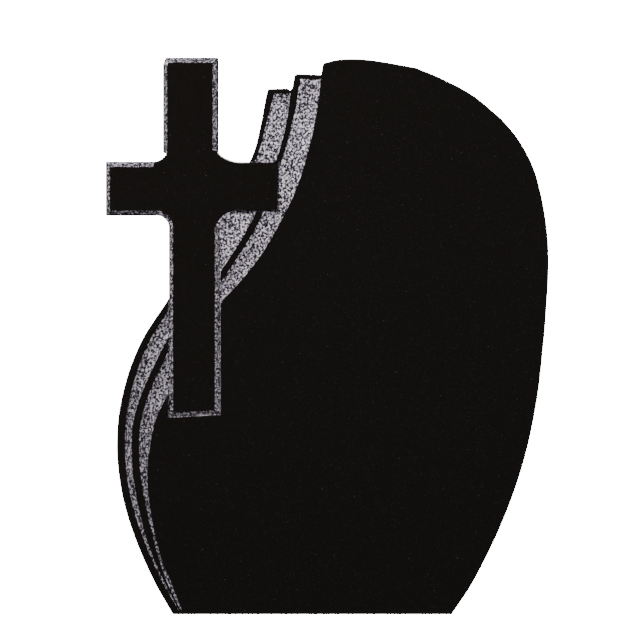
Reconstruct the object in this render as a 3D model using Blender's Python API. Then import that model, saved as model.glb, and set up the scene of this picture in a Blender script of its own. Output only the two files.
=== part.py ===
"""A polished granite headstone: an asymmetrical leaf of stone with a Latin cross and two pecked flutes
carved into its face. One solid. Metres, +Z up, the carved face towards -Y, origin under the middle."""

import bpy
import bmesh
import math
from mathutils import Vector
from mathutils.geometry import interpolate_bezier

# Driving dimensions
HEIGHT = 1.000
THICKNESS = 0.080
ARRIS = 0.0020
FLUTE_DEPTH = 0.0120
FLUTE_TIP_DEPTH = 0.0015
FLUTE_CAP = 0.0075
RIM_WIDTH = 0.0146
RIM_WIDTH_UPPER = 0.0092
RIM_WIDTH_END = 0.0125
RIB_WIDTH = 0.0134
RIB_WIDTH_UPPER = 0.0098
RIB_WIDTH_END = 0.0130
RIB_WIDTH_TIP = 0.0030

# The cross, whose axis is that of its upper shaft
CROSS_X = -0.2445
CROSS_HEIGHT = 0.6465
FOOT_TILT = 0.0052
UPPER_SHAFT_WIDTH = 0.0988
UPPER_SHAFT_SHIFT = -0.0008
LOWER_SHAFT_WIDTH = 0.0925
LOWER_SHAFT_SHIFT = 0.0065
LEFT_ARM_REACH = 0.1530
RIGHT_ARM_REACH = 0.1578
LEFT_ARM_WIDTH = 0.0960
RIGHT_ARM_WIDTH = 0.0885
ARM_DROP = 0.1870
RIGHT_ARM_DROP = 0.1875

# The hollow corners of the cross, each as far along the arm and as far along the shaft
UPPER_LEFT_RUN = 0.0220
UPPER_LEFT_RISE = 0.0160
UPPER_RIGHT_RUN = 0.0400
UPPER_RIGHT_RISE = 0.0200
LOWER_RIGHT_RUN = 0.0290
LOWER_RIGHT_RISE = 0.0290
LOWER_LEFT_CORNER = 0.0205
CORNER_BEND = 0.42
CORNER_POINTS = 7

# The pecked slope round the cross, side by side, and the groove that sets the cross off from the stone
SLOPE_DEPTH = 0.0090
SLOPE_LEFT = 0.0078
SLOPE_RIGHT = 0.0095
SLOPE_TOP = 0.0098
SLOPE_FOOT = 0.0082
SLOPE_STEP = 0.0012
GROOVE_DEPTH = 0.0080
GROOVE_FLOOR = 0.0004
GROOVE_WALL = 0.0005

# A corner chip at the top left of the cross
CHIP_WIDTH = 0.0050
CHIP_HEIGHT = 0.0120

# A flute is this much deeper for each metre that it is wider, down to FLUTE_DEPTH
FLUTE_DEPTH_BY_WIDTH = 0.42

# How finely the curves are drawn, and how far a cutter stands proud of the face that it cuts
CURVE_STEP = 0.009
FLUTE_STATIONS = 56
FLUTE_FACETS = 8
CUTTER_LIFT = 0.003

# Two edges that turn by less than this, as a sine, count as one straight line
STRAIGHT = 0.02

FRONT = -THICKNESS / 2
BACK = THICKNESS / 2

# Free form, as shares of the height: x from the middle of the stone, z from the ground.
# Each list is one smooth stretch of the outline, and two stretches meet in a corner.
LEFT_EDGE = [(-0.277, 0.000), (-0.3120, 0.062), (-0.3436, 0.134), (-0.3658, 0.205), (-0.3765, 0.277),
             (-0.3760, 0.340), (-0.3694, 0.385), (-0.3548, 0.439), (-0.3326, 0.492), (-0.3100, 0.529),
             (-0.2870, 0.563), (-0.2460, 0.633), (-0.2100, 0.699), (-0.1608, 0.776), (-0.1342, 0.823),
             (-0.1210, 0.870), (-0.1095, 0.931)]
FIRST_BAND_TOP = [(-0.1060, 0.9430), (-0.0700, 0.9445)]
NOTCH = [(-0.0665, 0.9405), (-0.0630, 0.9440)]
SECOND_BAND_SIDE = [(-0.0630, 0.9440), (-0.0602, 0.9570), (-0.0586, 0.9668)]
SECOND_BAND_TOP = [(-0.0550, 0.9702), (-0.0107, 0.9687)]
LEAF_STEP = [(-0.0107, 0.9687), (-0.0092, 0.9780), (-0.0066, 0.9895)]
LEAF_TOP = [(-0.0066, 0.9895), (0.0235, 0.9963), (0.0680, 0.9963), (0.1200, 0.9886), (0.1610, 0.9810)]
SHOULDER = [(0.1610, 0.9810), (0.2090, 0.9605), (0.2610, 0.9325), (0.3125, 0.8905)]
RIGHT_EDGE = [(0.3125, 0.8905), (0.3435, 0.8530), (0.3705, 0.8025), (0.3865, 0.7440), (0.3960, 0.6800),
              (0.3978, 0.6200), (0.3950, 0.5645), (0.3895, 0.4925), (0.3770, 0.3850), (0.3540, 0.2770),
              (0.3165, 0.1695), (0.2645, 0.0620), (0.2240, 0.0000)]
RIB_LINE = [(-0.0550, 0.9650), (-0.0630, 0.9055), (-0.0752, 0.8515), (-0.0855, 0.8160), (-0.1020, 0.7655),
            (-0.1235, 0.7155), (-0.1470, 0.6720), (-0.1705, 0.6365), (-0.1945, 0.6005), (-0.2385, 0.5450),
            (-0.2815, 0.4890), (-0.3070, 0.4390), (-0.3304, 0.3850), (-0.3418, 0.3400), (-0.3440, 0.2950),
            (-0.3405, 0.2450), (-0.3310, 0.1910), (-0.3170, 0.1335), (-0.2985, 0.0795), (-0.2740, 0.0260),
            (-0.2640, 0.0060)]
PANEL_LINE = [(-0.0105, 0.9690), (-0.0164, 0.9145), (-0.0288, 0.8515), (-0.0490, 0.7800),
              (-0.0732, 0.7240), (-0.1126, 0.6540), (-0.1530, 0.6005), (-0.1892, 0.5610), (-0.2280, 0.5050),
              (-0.2620, 0.4480), (-0.2890, 0.3885), (-0.3065, 0.3525), (-0.3175, 0.3040), (-0.3225, 0.2505),
              (-0.3195, 0.2055), (-0.3105, 0.1515), (-0.2960, 0.0975), (-0.2800, 0.0580), (-0.2600, 0.0060)]
FLUTE_TIP_Z = 0.0065

# Between which heights the rim and the rib narrow and widen again, and the rib runs out to its tip,
# as shares too
RIM_NARROWS = (0.55, 0.75)
RIB_NARROWS = (0.69, 0.82)
BANDS_WIDEN = (0.87, 0.92)
RIB_TIP = (0.03, 0.16)

# How far across a flute its deepest line lies
DEEPEST = 0.66


def clear_scene():
    for item in list(bpy.data.objects):
        bpy.data.objects.remove(item)


def new_collection(name):
    group = bpy.data.collections.new(name)
    bpy.context.scene.collection.children.link(group)
    return group


def material(name, colour, roughness):
    mat = bpy.data.materials.new(name)
    mat.use_nodes = True
    shader = mat.node_tree.nodes["Principled BSDF"]
    shader.inputs["Base Color"].default_value = (*colour, 1.0)
    shader.inputs["Roughness"].default_value = roughness
    shader.inputs["Metallic"].default_value = 0.0
    return mat


def smooth_curve(shares):
    """Points along one smooth curve through the given shares of the height, about CURVE_STEP apart."""
    knots = [Vector((x * HEIGHT, z * HEIGHT)) for x, z in shares]
    if len(knots) == 2:
        return knots
    points = []
    for i in range(len(knots) - 1):
        start, end = knots[i], knots[i + 1]
        before = knots[i - 1] if i else start * 2 - end
        after = knots[i + 2] if i + 2 < len(knots) else end * 2 - start
        span = (end - start).length
        leave = (end - before).normalized() * span / 3
        arrive = (after - start).normalized() * span / 3
        pieces = max(2, math.ceil(span / CURVE_STEP))
        points += interpolate_bezier(start, start + leave, end - arrive, end, pieces + 1)[:-1]
    points.append(knots[-1])
    return [Vector(point[:2]) for point in points]


def x_at(curve, z):
    """Where a rising or falling curve stands at the height z."""
    for low, high in zip(curve, curve[1:]):
        if min(low.y, high.y) <= z <= max(low.y, high.y) and low.y != high.y:
            return low.x + (high.x - low.x) * (z - low.y) / (high.y - low.y)
    nearest = min(curve, key=lambda point: abs(point.y - z))
    return nearest.x


def stone_outline():
    """The whole silhouette of the stone without the cross, from the foot's left corner clockwise."""
    stretches = [LEFT_EDGE, FIRST_BAND_TOP, NOTCH, SECOND_BAND_SIDE, SECOND_BAND_TOP, LEAF_STEP,
                 LEAF_TOP, SHOULDER, RIGHT_EDGE]
    outline = []
    for stretch in stretches:
        points = smooth_curve(stretch)
        if outline and (points[0] - outline[-1]).length < 1e-6:
            points = points[1:]
        outline += points
    return outline


def inset(outline, widths):
    """The outline, which runs clockwise, moved inwards, or outwards by a negative width. widths is one
    width for all, or a pair for each point: the width along the edge before it and the one after it."""
    count = len(outline)
    pairs = widths if isinstance(widths, list) else [(widths, widths)] * count
    moved = []
    for i, point in enumerate(outline):
        back = (point - outline[i - 1]).normalized()
        ahead = (outline[(i + 1) % count] - point).normalized()
        first = point + Vector((back.y, -back.x)) * pairs[i][0]
        second = point + Vector((ahead.y, -ahead.x)) * pairs[i][1]
        turn = back.cross(ahead)
        if abs(turn) < STRAIGHT:
            moved.append((first + second) / 2)
        else:
            moved.append(first + back * (second - first).cross(ahead) / turn)
    return moved


def loft(name, rings, group):
    """A closed solid through rings of equally many points, with a flat cap at each end."""
    mesh = bpy.data.meshes.new(name)
    form = bmesh.new()
    made = [[form.verts.new(point) for point in ring] for ring in rings]
    for near, far in zip(made, made[1:]):
        for i in range(len(near)):
            j = (i + 1) % len(near)
            form.faces.new((near[i], near[j], far[j], far[i]))
    form.faces.new(made[0])
    form.faces.new(made[-1])
    bmesh.ops.recalc_face_normals(form, faces=form.faces)
    form.to_mesh(mesh)
    form.free()
    item = bpy.data.objects.new(name, mesh)
    group.objects.link(item)
    return item


def ring_at(outline, y):
    return [Vector((point.x, y, point.y)) for point in outline]


def make_slab(group):
    """The stone: its outline through the thickness, with a small arris round both faces."""
    outline = stone_outline()
    small = inset(outline, ARRIS)
    for moved, point in zip(small, outline):
        if point.y == 0.0:
            moved.y = 0.0
    rings = [ring_at(small, FRONT), ring_at(outline, FRONT + ARRIS),
             ring_at(outline, BACK - ARRIS), ring_at(small, BACK)]
    return loft("headstone", rings, group)


def flute_profile(left, right, depth):
    """One cross-section of a flute from its left edge to its right, a long slope and a steep wall.
    Each entry is (x, depth), and the two ends stand proud of the face, in line with the slopes."""
    spots = []
    for i in range(FLUTE_FACETS + 1):
        share = i / FLUTE_FACETS
        if share <= DEEPEST:
            drop = math.sin(share / DEEPEST * math.pi / 2)
        else:
            drop = math.cos((share - DEEPEST) / (1 - DEEPEST) * math.pi / 2)
        spots.append((left + (right - left) * share, depth * drop))
    first, second = spots[0], spots[1]
    last, before = spots[-1], spots[-2]
    spots[0] = (first[0] - (second[0] - first[0]) * CUTTER_LIFT / second[1], -CUTTER_LIFT)
    spots[-1] = (last[0] + (last[0] - before[0]) * CUTTER_LIFT / before[1], -CUTTER_LIFT)
    return spots


def make_flute(name, left_of, right_of, top, group):
    """A cutter for a flute between two lines, deep where it is wide and fading out at its tip."""
    tip = FLUTE_TIP_Z * HEIGHT
    rings = []
    for i in range(FLUTE_STATIONS + 1):
        share = i / FLUTE_STATIONS
        z = tip + (top - tip) * share
        left, right = left_of(z), right_of(z)
        depth = min(FLUTE_DEPTH, FLUTE_TIP_DEPTH + (right - left) * FLUTE_DEPTH_BY_WIDTH)
        if i == FLUTE_STATIONS:
            depth = FLUTE_TIP_DEPTH * 2
        rings.append([Vector((x, FRONT + drop, z)) for x, drop in flute_profile(left, right, depth)])
    return loft(name, rings, group)


def fade(z, low, high):
    """0 below the height low, 1 above the height high, and smooth between."""
    share = min(1.0, max(0.0, (z - low) / (high - low)))
    return share * share * (3 - 2 * share)


def flute_lines():
    """The four lines that bound the two flutes, each giving x for a height z."""
    edge = smooth_curve(LEFT_EDGE)
    rib = smooth_curve(RIB_LINE)
    panel = smooth_curve(PANEL_LINE)

    def rim_side(z):
        width = RIM_WIDTH + (RIM_WIDTH_UPPER - RIM_WIDTH) * fade(z / HEIGHT, *RIM_NARROWS)
        width += (RIM_WIDTH_END - RIM_WIDTH_UPPER) * fade(z / HEIGHT, *BANDS_WIDEN)
        return x_at(edge, z) + width

    def rib_half(z):
        width = RIB_WIDTH + (RIB_WIDTH_UPPER - RIB_WIDTH) * fade(z / HEIGHT, *RIB_NARROWS)
        width += (RIB_WIDTH_END - RIB_WIDTH_UPPER) * fade(z / HEIGHT, *BANDS_WIDEN)
        width -= (RIB_WIDTH - RIB_WIDTH_TIP) * (1 - fade(z / HEIGHT, *RIB_TIP))
        return width / 2

    def rib_left(z):
        return max(x_at(rib, z) - rib_half(z), rim_side(z) + RIB_WIDTH_TIP / 2)

    def rib_right(z):
        return x_at(rib, z) + rib_half(z)

    def panel_side(z):
        return max(x_at(panel, z), rib_right(z) + RIB_WIDTH_TIP / 2)

    return rim_side, rib_left, rib_right, panel_side


def hollow_corner(start, corner, end):
    """Points along the rounded inner corner between a shaft and an arm, from start to end."""
    leave = start + (corner - start) * CORNER_BEND
    arrive = end + (corner - end) * CORNER_BEND
    return [Vector(point[:2]) for point in interpolate_bezier(start, leave, arrive, end, CORNER_POINTS)]


def cross_outline():
    """The cross from its top left corner clockwise, and the slope's widths before and after each point.
    Three of the hollow corners have no pecked slope, only the arris, and two of those start from the
    line of the polished face and not from the foot of the slope."""
    top = HEIGHT
    foot = top - CROSS_HEIGHT
    upper_left = CROSS_X + UPPER_SHAFT_SHIFT - UPPER_SHAFT_WIDTH / 2
    upper_right = CROSS_X + UPPER_SHAFT_SHIFT + UPPER_SHAFT_WIDTH / 2
    lower_left = CROSS_X + LOWER_SHAFT_SHIFT - LOWER_SHAFT_WIDTH / 2
    lower_right = CROSS_X + LOWER_SHAFT_SHIFT + LOWER_SHAFT_WIDTH / 2
    arm_left = CROSS_X - LEFT_ARM_REACH
    arm_right = CROSS_X + RIGHT_ARM_REACH
    left_top = top - ARM_DROP
    left_low = left_top - LEFT_ARM_WIDTH
    right_top = top - RIGHT_ARM_DROP
    right_low = right_top - RIGHT_ARM_WIDTH
    face_left = upper_left + SLOPE_LEFT - ARRIS
    face_right = lower_right - SLOPE_RIGHT + ARRIS
    points = []
    widths = []

    def add(x, z, before, after):
        points.append(Vector((x, z)))
        widths.append((before, after))

    def add_corner(start, corner, end, width):
        for point in hollow_corner(Vector(start), Vector(corner), Vector(end)):
            add(point.x, point.y, width, width)

    add(upper_left + CHIP_WIDTH, top, SLOPE_LEFT, SLOPE_TOP)
    add(upper_right, top, SLOPE_TOP, SLOPE_RIGHT)
    corner_top = right_top + UPPER_RIGHT_RISE
    add(upper_right, corner_top + SLOPE_STEP, SLOPE_RIGHT, SLOPE_RIGHT)
    add_corner((upper_right, corner_top), (upper_right, right_top),
               (upper_right + UPPER_RIGHT_RUN, right_top), ARRIS)
    add(arm_right, right_top, ARRIS, ARRIS)
    add(arm_right, right_low, ARRIS, ARRIS)
    corner_foot = right_low - LOWER_RIGHT_RISE
    add_corner((face_right + LOWER_RIGHT_RUN, right_low), (face_right, right_low),
               (face_right, corner_foot), ARRIS)
    widths[-1] = (ARRIS, 0.0)
    add(lower_right, corner_foot - SLOPE_STEP, ARRIS, SLOPE_RIGHT)
    add(lower_right, foot + FOOT_TILT, SLOPE_RIGHT, SLOPE_FOOT)
    add(lower_left, foot, SLOPE_FOOT, SLOPE_LEFT)
    add_corner((lower_left, left_low - LOWER_LEFT_CORNER), (lower_left, left_low),
               (lower_left - LOWER_LEFT_CORNER, left_low), SLOPE_LEFT)
    add(arm_left, left_low, SLOPE_LEFT, SLOPE_LEFT)
    add(arm_left, left_top, SLOPE_LEFT, SLOPE_TOP)
    corner_left = face_left - UPPER_LEFT_RUN
    add(corner_left - SLOPE_STEP, left_top, SLOPE_TOP, SLOPE_TOP)
    corner_top = left_top + UPPER_LEFT_RISE
    add_corner((corner_left, left_top), (face_left, left_top), (face_left, corner_top), ARRIS)
    widths[-1] = (ARRIS, 0.0)
    add(upper_left, corner_top + SLOPE_STEP, ARRIS, SLOPE_LEFT)
    add(upper_left, top - CHIP_HEIGHT, SLOPE_LEFT, SLOPE_LEFT)
    return points, widths


def make_cross(group):
    """The cross, as deep as the stone, with its face drawn in by the pecked slope."""
    outline, widths = cross_outline()
    small = inset(outline, ARRIS)
    rings = [ring_at(inset(outline, widths), FRONT), ring_at(outline, FRONT + SLOPE_DEPTH),
             ring_at(outline, BACK - ARRIS), ring_at(small, BACK)]
    return loft("cross", rings, group)


def make_groove(group):
    """The cutter for the groove round the cross: a narrow floor and a steep wall."""
    outline, _widths = cross_outline()
    flare = GROOVE_FLOOR + GROOVE_WALL * (1 + CUTTER_LIFT / GROOVE_DEPTH)
    rings = [ring_at(inset(outline, -flare), FRONT - CUTTER_LIFT),
             ring_at(inset(outline, -GROOVE_FLOOR), FRONT + GROOVE_DEPTH)]
    return loft("groove_cutter", rings, group)


def combine(body, other, operation):
    """Runs one Boolean on the body and keeps its result as the body's own mesh."""
    step = body.modifiers.new(operation.lower(), "BOOLEAN")
    step.operation = operation
    step.solver = "EXACT"
    step.object = other
    bpy.context.view_layer.update()
    result = bpy.data.meshes.new_from_object(body.evaluated_get(bpy.context.evaluated_depsgraph_get()))
    body.modifiers.remove(step)
    body.data = result


def hide_cutter(cutter):
    cutter.hide_render = True
    cutter.display_type = "WIRE"


def make_headstone():
    parts = new_collection("headstone")
    cutters = new_collection("cutters")
    rim_side, rib_left, rib_right, panel_side = flute_lines()
    first_top = FIRST_BAND_TOP[0][1] * HEIGHT - FLUTE_CAP
    second_top = SECOND_BAND_TOP[1][1] * HEIGHT - FLUTE_CAP
    body = make_slab(parts)
    tools = [make_flute("first_flute_cutter", rim_side, rib_left, first_top, cutters),
             make_flute("second_flute_cutter", rib_right, panel_side, second_top, cutters),
             make_groove(cutters)]
    cross = make_cross(cutters)
    for tool in tools:
        combine(body, tool, "DIFFERENCE")
    combine(body, cross, "UNION")
    for tool in tools + [cross]:
        hide_cutter(tool)
    body.data.materials.clear()
    body.data.materials.append(material("black_granite", (0.012, 0.011, 0.010), 0.12))
    return body


clear_scene()
make_headstone()
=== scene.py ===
"""A black granite headstone: mirror-polished face, pecked flutes and a pecked slope round its cross."""

import math

import bmesh
import bpy
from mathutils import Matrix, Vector, noise


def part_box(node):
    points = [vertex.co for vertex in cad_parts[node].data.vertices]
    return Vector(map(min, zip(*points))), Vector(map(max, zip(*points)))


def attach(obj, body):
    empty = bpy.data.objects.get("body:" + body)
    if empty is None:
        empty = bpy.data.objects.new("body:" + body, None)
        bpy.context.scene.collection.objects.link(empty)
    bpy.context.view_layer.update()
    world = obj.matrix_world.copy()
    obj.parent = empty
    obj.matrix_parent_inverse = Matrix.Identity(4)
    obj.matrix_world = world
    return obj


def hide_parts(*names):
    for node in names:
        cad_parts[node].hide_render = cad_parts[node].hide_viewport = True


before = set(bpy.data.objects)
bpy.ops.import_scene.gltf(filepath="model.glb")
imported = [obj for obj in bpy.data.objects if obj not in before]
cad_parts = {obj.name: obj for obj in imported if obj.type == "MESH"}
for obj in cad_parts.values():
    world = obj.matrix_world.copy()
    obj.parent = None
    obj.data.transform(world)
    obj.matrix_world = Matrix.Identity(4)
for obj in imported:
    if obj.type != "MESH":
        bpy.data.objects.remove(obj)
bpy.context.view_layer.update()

# The stone: its polished face and its height, the depths of its carving and the place of its cross
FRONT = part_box("headstone")[0].y
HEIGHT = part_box("headstone")[1].z
ARRIS = 0.0020
CARVED_DEPTH = 0.0130
SLOPE_DEPTH = 0.0091
# Past this depth the cross's slope gets the dark polished finish: painted shade along the groove's foot
SLOPE_PAINTED_SHADE_FROM = 0.0076
CROSS_X = -0.2445
CROSS_FOOT = HEIGHT - 0.6485

# How faces are told apart: a level is a depth, and the rest are parts of a face's normal
LEVEL = 0.00005
UPRIGHT = 0.01
SQUARE = 0.06
STEEP = 0.3
BACKWARD = 0.5
GENTLE = 0.85
WELD = 0.00001
FLAT_ANGLE = math.radians(0.5)
SHARP_ANGLE = math.radians(32)

# The finishes, in the order of the stone's material slots
POLISHED, PECKED, EDGE_AND_PAINTED_SHADE, HONED, SLOPE = range(5)

# The pecking: how fine its mesh is, how deep its pits are and how far it frays the polished edges
PECK_GRAIN = 0.0030
MOST_SPLITS = 12
PECK_DEPTH = 0.00070
PECK_SIZE = 0.0062
USUAL_PIT = 0.45
PIT_SHARE = 1.4
ROUGH_SHARE = 0.6
ROUGH_FINENESS = 2.3
FRAY = 0.00035
FRAY_FINENESS = 1.3
FRAY_SEED = 1

# The bruised stone's colour: how close the blows are, and how pale it is at three heights
FLUTE_BLOWS_PER_METRE = 245.0
SLOPE_BLOWS_PER_METRE = 255.0
FADE_HEIGHTS = (0.30, 0.62, 0.88)
FLUTE_PALENESS = (0.52, 0.76, 0.95)
SLOPE_PALENESS = (0.60, 0.50, 0.50)

# The few pale flecks of mica in the mirror face
FLECKS_PER_METRE = 11.0
FLECK_RADIUS = 0.0006
FLECK_HEART = 0.6
FLECK_COLOUR = (0.075, 0.073, 0.070, 1.0)

# The photograph's frame, 640 pixels square: its scale, and where the stone's foot and middle are in it
METRES_PER_PIXEL = 0.001795
IMAGE_SIZE = 640
FOOT_ROW = 614.4
MIDDLE_COLUMN = 327.0
CAMERA_DISTANCE = 10.0
SENSOR_WIDTH = 36.0

# The studio
WHITE = (1.0, 1.0, 1.0, 1.0)
BACKGROUND_GLOW = 24.0
FLOOR_GLOW = 20.0
FLOOR_SIZE = 60.0


def new_material(name):
    material = bpy.data.materials.new(name)
    material.use_nodes = True
    return material, material.node_tree.nodes["Principled BSDF"]


def add_node(material, kind, **values):
    """A node with its plain settings, and its sockets by name."""
    node = material.node_tree.nodes.new(kind)
    for key, value in values.items():
        if hasattr(node, key):
            setattr(node, key, value)
        else:
            node.inputs[key.replace("_", " ")].default_value = value
    return node


def link(material, source, output, target, socket):
    material.node_tree.links.new(source.outputs[output], target.inputs[socket])


def ramp(material, source, output, stops):
    """A colour ramp on a value; each stop is (position, (r, g, b))."""
    node = material.node_tree.nodes.new("ShaderNodeValToRGB")
    bands = node.color_ramp.elements
    while len(bands) < len(stops):
        bands.new(1.0)
    for band, (position, colour) in zip(bands, stops):
        band.position = position
        band.color = (*colour, 1.0)
    link(material, source, output, node, "Fac")
    return node


def grey(value):
    return (value, value, value)


def granite_crystals(material, place, dark, light):
    """Black granite's own grain: mostly black, with a few paler crystals a millimetre or two across."""
    crystals = add_node(material, "ShaderNodeTexVoronoi", Scale=620.0, Randomness=1.0)
    link(material, place, "Object", crystals, "Vector")
    return ramp(material, crystals, "Color", [(0.0, dark), (0.80, dark), (0.97, light)])


def with_flecks(material, place, grain):
    """The grain with a pale fleck here and there on the face, spread over its width and height."""
    split = add_node(material, "ShaderNodeSeparateXYZ")
    link(material, place, "Object", split, "Vector")
    flat = add_node(material, "ShaderNodeCombineXYZ")
    link(material, split, "X", flat, "X")
    link(material, split, "Z", flat, "Y")
    flecks = add_node(material, "ShaderNodeTexVoronoi", voronoi_dimensions="2D", Scale=FLECKS_PER_METRE)
    link(material, flat, "Vector", flecks, "Vector")
    reach = FLECK_RADIUS * FLECKS_PER_METRE
    fleck = ramp(material, flecks, "Distance", [(reach * FLECK_HEART, grey(1.0)), (reach, grey(0.0))])
    mix = add_node(material, "ShaderNodeMix", data_type="RGBA")
    link(material, fleck, "Color", mix, 0)
    link(material, grain, "Color", mix, 6)
    mix.inputs[7].default_value = FLECK_COLOUR
    return mix


def polished_granite():
    """The mirror face: black, a shade warm, with faint crystals and a polish that isn't quite even."""
    material, shader = new_material("polished_granite")
    place = add_node(material, "ShaderNodeTexCoord")
    grain = granite_crystals(material, place, (0.0058, 0.0048, 0.0039), (0.0170, 0.0155, 0.0140))
    link(material, with_flecks(material, place, grain), 2, shader, "Base Color")
    cloud = add_node(material, "ShaderNodeTexNoise", Scale=9.0, Detail=6.0, Roughness=0.65)
    link(material, place, "Object", cloud, "Vector")
    dull = ramp(material, cloud, "Fac", [(0.35, grey(0.055)), (0.70, grey(0.11))])
    link(material, dull, "Color", shader, "Roughness")
    return material


def pecked_granite(name, blows_per_metre, paleness):
    """Bruised stone: pale where the point has crushed it, black between the blows."""
    material, shader = new_material(name)
    place = add_node(material, "ShaderNodeTexCoord")
    blows = add_node(material, "ShaderNodeTexNoise", Scale=blows_per_metre, Detail=2.5, Roughness=0.62)
    link(material, place, "Object", blows, "Vector")
    colour = ramp(material, blows, "Fac", [(0.38, (0.004, 0.003, 0.004)), (0.46, (0.034, 0.028, 0.038)),
                                           (0.505, (0.18, 0.16, 0.20)), (0.55, (0.58, 0.52, 0.62)),
                                           (0.60, (1.0, 0.92, 1.0))])
    split = add_node(material, "ShaderNodeSeparateXYZ")
    link(material, place, "Object", split, "Vector")
    strength = ramp(material, split, "Z", [(z, grey(pale)) for z, pale in zip(FADE_HEIGHTS, paleness)])
    shade = add_node(material, "ShaderNodeMix", data_type="RGBA", blend_type="MULTIPLY")
    shade.inputs[0].default_value = 1.0
    link(material, colour, "Color", shade, 6)
    link(material, strength, "Color", shade, 7)
    link(material, shade, 2, shader, "Base Color")
    shader.inputs["Roughness"].default_value = 0.85
    shader.inputs["Specular IOR Level"].default_value = 0.25
    return material


def polished_edge_and_painted_shade():
    """The sides and the arris: the same black granite, polished a little less well; it also paints shade
    on the deepest strip of the cross's slope.
    """
    material, shader = new_material("polished_edge_and_painted_shade")
    place = add_node(material, "ShaderNodeTexCoord")
    grain = granite_crystals(material, place, (0.0060, 0.0056, 0.0054), (0.020, 0.019, 0.018))
    link(material, grain, "Color", shader, "Base Color")
    cloud = add_node(material, "ShaderNodeTexNoise", Scale=14.0, Detail=5.0, Roughness=0.6)
    link(material, place, "Object", cloud, "Vector")
    dull = ramp(material, cloud, "Fac", [(0.3, grey(0.14)), (0.75, grey(0.26))])
    link(material, dull, "Color", shader, "Roughness")
    return material


def honed_back():
    """The back, left as the saw and a coarse wheel left it: grey, dull and faintly striped."""
    material, shader = new_material("honed_back")
    place = add_node(material, "ShaderNodeTexCoord")
    grain = granite_crystals(material, place, (0.030, 0.029, 0.029), (0.095, 0.092, 0.090))
    stripes = add_node(material, "ShaderNodeTexWave", bands_direction="Z", Scale=28.0, Distortion=1.2,
                       Detail=3.0)
    link(material, place, "Object", stripes, "Vector")
    mix = add_node(material, "ShaderNodeMix", data_type="RGBA", blend_type="MULTIPLY")
    mix.inputs[0].default_value = 0.25
    link(material, grain, "Color", mix, 6)
    link(material, stripes, "Color", mix, 7)
    link(material, mix, 2, shader, "Base Color")
    shader.inputs["Roughness"].default_value = 0.55
    bump = add_node(material, "ShaderNodeBump", Strength=0.25, Distance=0.0004)
    link(material, stripes, "Fac", bump, "Height")
    link(material, bump, "Normal", shader, "Normal")
    return material


def depth_of(vertex):
    return vertex.co.y - FRONT


def faces_the_cross(face):
    """True where a steep face looks towards the cross's upright, as the groove's outer wall does."""
    middle = face.calc_center_median()
    return face.normal.x * (CROSS_X - middle.x) > 0


def finish_of(face):
    """Which finish a face of the slab has, from how deep it lies and which way it looks."""
    depths = [depth_of(vertex) for vertex in face.verts]
    if max(depths) < LEVEL:
        return POLISHED
    if face.normal.y > BACKWARD:
        return HONED
    if max(depths) > CARVED_DEPTH:
        return EDGE_AND_PAINTED_SHADE
    on_arris = max(depths) < ARRIS + LEVEL and min(depths) < LEVEL
    if on_arris and any(meets_a_side(vertex) for vertex in face.verts):
        return EDGE_AND_PAINTED_SHADE
    if abs(face.normal.y) < STEEP and not faces_the_cross(face):
        return EDGE_AND_PAINTED_SHADE
    return PECKED


def meets_a_side(vertex):
    """True where the vertex is a corner of one of the slab's own sides."""
    return any(abs(face.normal.y) < UPRIGHT and max(depth_of(v) for v in face.verts) > CARVED_DEPTH
               for face in vertex.link_faces)


def refine_pecking(form):
    """Splits the pecked faces until no edge of theirs is longer than the pecking's grain."""
    for _ in range(MOST_SPLITS):
        long_edges = [edge for edge in form.edges if edge.calc_length() > PECK_GRAIN
                      and any(face.material_index == PECKED for face in edge.link_faces)]
        if not long_edges:
            break
        bmesh.ops.subdivide_edges(form, edges=long_edges, cuts=1)
        pecked = [face for face in form.faces if face.material_index == PECKED and len(face.verts) > 3]
        bmesh.ops.triangulate(form, faces=pecked)


def is_slope(face):
    """True for the slope round the cross, whose planes run square with the cross, unlike a flute's."""
    middle = face.calc_center_median()
    square = min(abs(face.normal.x), abs(face.normal.z)) < SQUARE
    sloping = STEEP < -face.normal.y < GENTLE
    return square and sloping and middle.z > CROSS_FOOT and middle.y - FRONT < SLOPE_DEPTH


def part_slope(form):
    """Sets the cross's slope apart from the flutes, and paints shade along its foot: the slope's deepest
    strip gets the dark polished finish, partly standing for the polished wall it meets and partly as
    painted shade in the groove.
    """
    form.normal_update()
    for face in form.faces:
        if face.material_index == PECKED and is_slope(face):
            # Painted shade: the deepest strip of the slope takes the dark polished finish instead of the
            # pale pecking
            deep = face.calc_center_median().y - FRONT > SLOPE_PAINTED_SHADE_FROM
            face.material_index = EDGE_AND_PAINTED_SHADE if deep else SLOPE


def peck(form):
    """Sinks a pit wherever a blow has fallen, and frays the polished edges in their own plane."""
    form.normal_update()
    noise.seed_set(FRAY_SEED)
    moves = []
    for vertex in form.verts:
        finishes = {face.material_index for face in vertex.link_faces}
        if not finishes & {PECKED, SLOPE}:
            continue
        spot = vertex.co / PECK_SIZE
        if finishes <= {PECKED, SLOPE}:
            near, _points = noise.voronoi(spot)
            pit = min(1.0, near[0]) - USUAL_PIT
            rough = noise.noise(spot * ROUGH_FINENESS)
            rise = PECK_DEPTH * (pit * PIT_SHARE + rough * ROUGH_SHARE)
            moves.append((vertex, vertex.normal * rise))
        elif POLISHED in finishes and len(finishes) == 2:
            shift = noise.noise_vector(spot * FRAY_FINENESS)
            moves.append((vertex, Vector((shift.x, 0.0, shift.z)) * FRAY))
    for vertex, move in moves:
        vertex.co += move
        vertex.co.y = max(vertex.co.y, FRONT)
        vertex.co.z = min(max(vertex.co.z, 0.0), HEIGHT)


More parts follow.
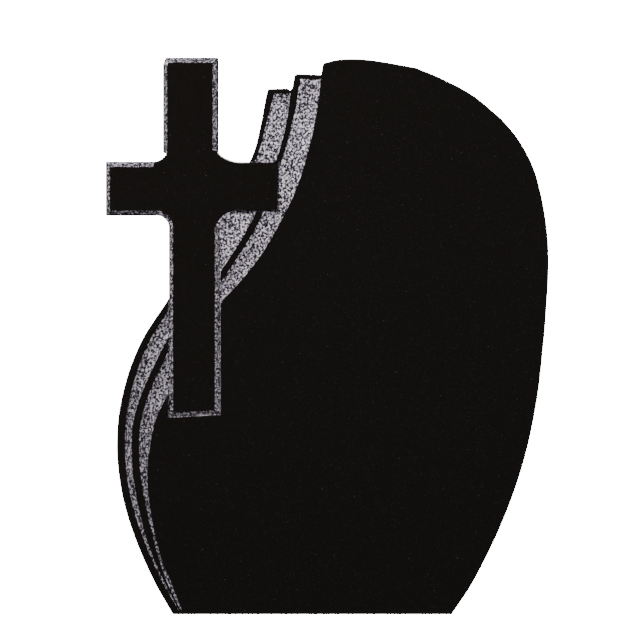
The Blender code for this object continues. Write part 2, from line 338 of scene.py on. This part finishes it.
def shade(form):
    """Flat polished faces, smooth ones elsewhere, and a sharp edge at each fold and change of finish."""
    form.normal_update()
    for face in form.faces:
        face.smooth = face.material_index != POLISHED
    for edge in form.edges:
        finishes = {face.material_index for face in edge.link_faces}
        edge.smooth = len(finishes) == 1 and edge.calc_face_angle(0.0) < SHARP_ANGLE


def make_stone():
    """The whole carved slab, from the solid's own form, with the pecking cut into it."""
    form = bmesh.new()
    form.from_mesh(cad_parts["headstone"].data)
    bmesh.ops.remove_doubles(form, verts=form.verts, dist=WELD)
    form.normal_update()
    found = [finish_of(face) for face in form.faces]
    for face, finish in zip(form.faces, found):
        face.material_index = finish
    flat_edges = [edge for edge in form.edges
                  if all(face.material_index == POLISHED for face in edge.link_faces)]
    bmesh.ops.dissolve_limit(form, angle_limit=FLAT_ANGLE, edges=flat_edges, verts=[],
                             use_dissolve_boundaries=False)
    refine_pecking(form)
    part_slope(form)
    peck(form)
    shade(form)
    mesh = bpy.data.meshes.new("stone")
    form.to_mesh(mesh)
    form.free()
    finishes = (polished_granite(),
                pecked_granite("pecked_flutes", FLUTE_BLOWS_PER_METRE, FLUTE_PALENESS),
                polished_edge_and_painted_shade(), honed_back(),
                pecked_granite("pecked_slope", SLOPE_BLOWS_PER_METRE, SLOPE_PALENESS))
    for material in finishes:
        mesh.materials.append(material)
    stone = bpy.data.objects.new("stone", mesh)
    bpy.context.scene.collection.objects.link(stone)
    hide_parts("headstone")
    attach(stone, "root")


def make_floor():
    """A wide pale floor, which the polished stone doesn't mirror."""
    form = bmesh.new()
    bmesh.ops.create_grid(form, x_segments=1, y_segments=1, size=FLOOR_SIZE)
    mesh = bpy.data.meshes.new("floor")
    form.to_mesh(mesh)
    form.free()
    material, shader = new_material("pale_floor")
    shader.inputs["Base Color"].default_value = (0.9, 0.9, 0.9, 1.0)
    shader.inputs["Roughness"].default_value = 0.9
    shader.inputs["Specular IOR Level"].default_value = 0.0
    shader.inputs["Emission Color"].default_value = WHITE
    shader.inputs["Emission Strength"].default_value = FLOOR_GLOW
    mesh.materials.append(material)
    floor = bpy.data.objects.new("floor", mesh)
    bpy.context.scene.collection.objects.link(floor)
    floor.visible_glossy = False
    floor.visible_diffuse = False


def make_light(name, place, size, power):
    """A square soft light that looks at the middle of the stone."""
    data = bpy.data.lights.new(name, "AREA")
    data.shape = "SQUARE"
    data.size = size
    data.energy = power
    light = bpy.data.objects.new(name, data)
    light.location = place
    aim = Vector((0.0, 0.0, HEIGHT / 2)) - Vector(place)
    light.rotation_euler = aim.to_track_quat("-Z", "Y").to_euler()
    bpy.context.scene.collection.objects.link(light)


def make_surroundings():
    """A white background, and a dim room, brighter overhead, for what the stone mirrors."""
    world = bpy.data.worlds.new("studio")
    bpy.context.scene.world = world
    world.use_nodes = True
    tree = world.node_tree
    tree.nodes.clear()
    out = tree.nodes.new("ShaderNodeOutputWorld")
    seen = tree.nodes.new("ShaderNodeBackground")
    seen.inputs["Color"].default_value = WHITE
    seen.inputs["Strength"].default_value = BACKGROUND_GLOW
    room = tree.nodes.new("ShaderNodeBackground")
    room.inputs["Strength"].default_value = 1.0
    path = tree.nodes.new("ShaderNodeLightPath")
    choose = tree.nodes.new("ShaderNodeMixShader")
    place = tree.nodes.new("ShaderNodeTexCoord")
    split = tree.nodes.new("ShaderNodeSeparateXYZ")
    overhead = tree.nodes.new("ShaderNodeValToRGB")
    overhead.color_ramp.elements[0].position = 0.10
    overhead.color_ramp.elements[0].color = (0.055, 0.054, 0.055, 1.0)
    overhead.color_ramp.elements[1].position = 0.75
    overhead.color_ramp.elements[1].color = (0.75, 0.75, 0.77, 1.0)
    tree.links.new(place.outputs["Generated"], split.inputs["Vector"])
    tree.links.new(split.outputs["Z"], overhead.inputs["Fac"])
    tree.links.new(overhead.outputs["Color"], room.inputs["Color"])
    tree.links.new(path.outputs["Is Camera Ray"], choose.inputs["Fac"])
    tree.links.new(room.outputs["Background"], choose.inputs[1])
    tree.links.new(seen.outputs["Background"], choose.inputs[2])
    tree.links.new(choose.outputs["Shader"], out.inputs["Surface"])
    make_light("key", (-1.5, -3.3, 2.7), 1.6, 205.0)
    make_light("fill", (2.8, -2.4, 1.2), 2.2, 60.0)
    make_light("behind", (0.6, 3.0, 2.6), 2.0, 70.0)


def make_camera():
    """Straight on, from far off, framed as the photograph is."""
    data = bpy.data.cameras.new("camera")
    camera = bpy.data.objects.new("camera", data)
    x = (IMAGE_SIZE / 2 - MIDDLE_COLUMN) * METRES_PER_PIXEL
    z = (FOOT_ROW - IMAGE_SIZE / 2) * METRES_PER_PIXEL
    camera.location = (x, FRONT - CAMERA_DISTANCE, z)
    camera.rotation_euler = (math.radians(90), 0.0, 0.0)
    data.sensor_width = SENSOR_WIDTH
    data.lens = SENSOR_WIDTH * CAMERA_DISTANCE / (IMAGE_SIZE * METRES_PER_PIXEL)
    bpy.context.scene.collection.objects.link(camera)
    bpy.context.scene.camera = camera


make_stone()
make_floor()
make_surroundings()
make_camera()
